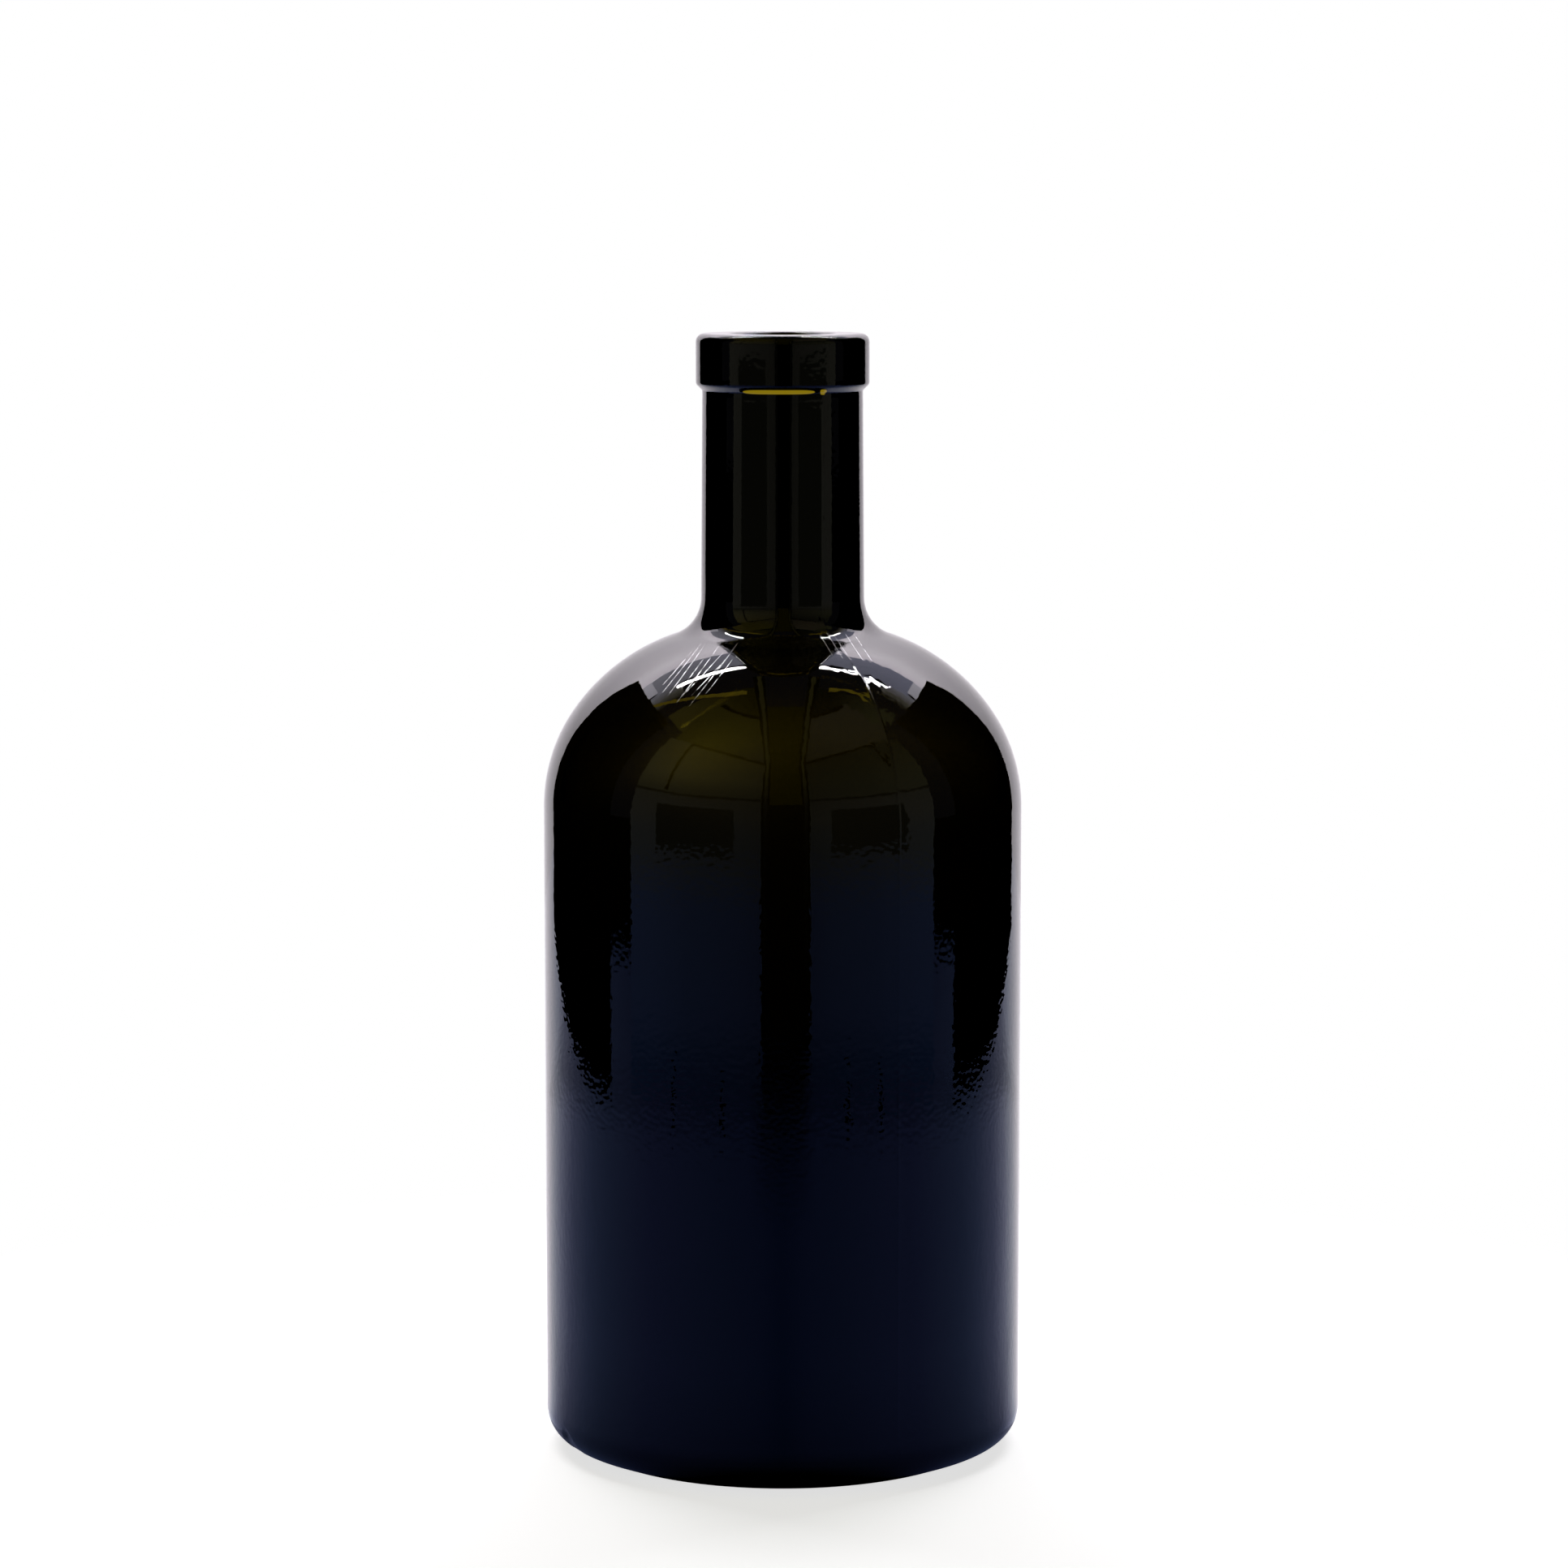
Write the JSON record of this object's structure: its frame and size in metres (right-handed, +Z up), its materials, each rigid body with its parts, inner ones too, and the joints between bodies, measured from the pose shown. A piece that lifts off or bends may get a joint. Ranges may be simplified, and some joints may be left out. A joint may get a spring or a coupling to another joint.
{
  "type": "empty cork-finish glass bottle",
  "caption": "Round dark green glass spirits bottle with a straight body, domed shoulder, straight neck and a band finish for a bar-top cork.",
  "frame": {"origin": "centre of the bearing ring, on the surface that the bottle stands on", "axes": "+Z up along the bottle's own axis, out of the mouth; -Y faces the viewer, +X to the viewer's right"},
  "size_m": [0.091, 0.091, 0.2129],
  "materials": {
    "green_glass": "glossy, slightly wavy pressed and blown container glass, nearly black in thick sections"
  },
  "bodies": {
    "root": {"glass_bottle": "green_glass"}
  },
  "joints": []
}
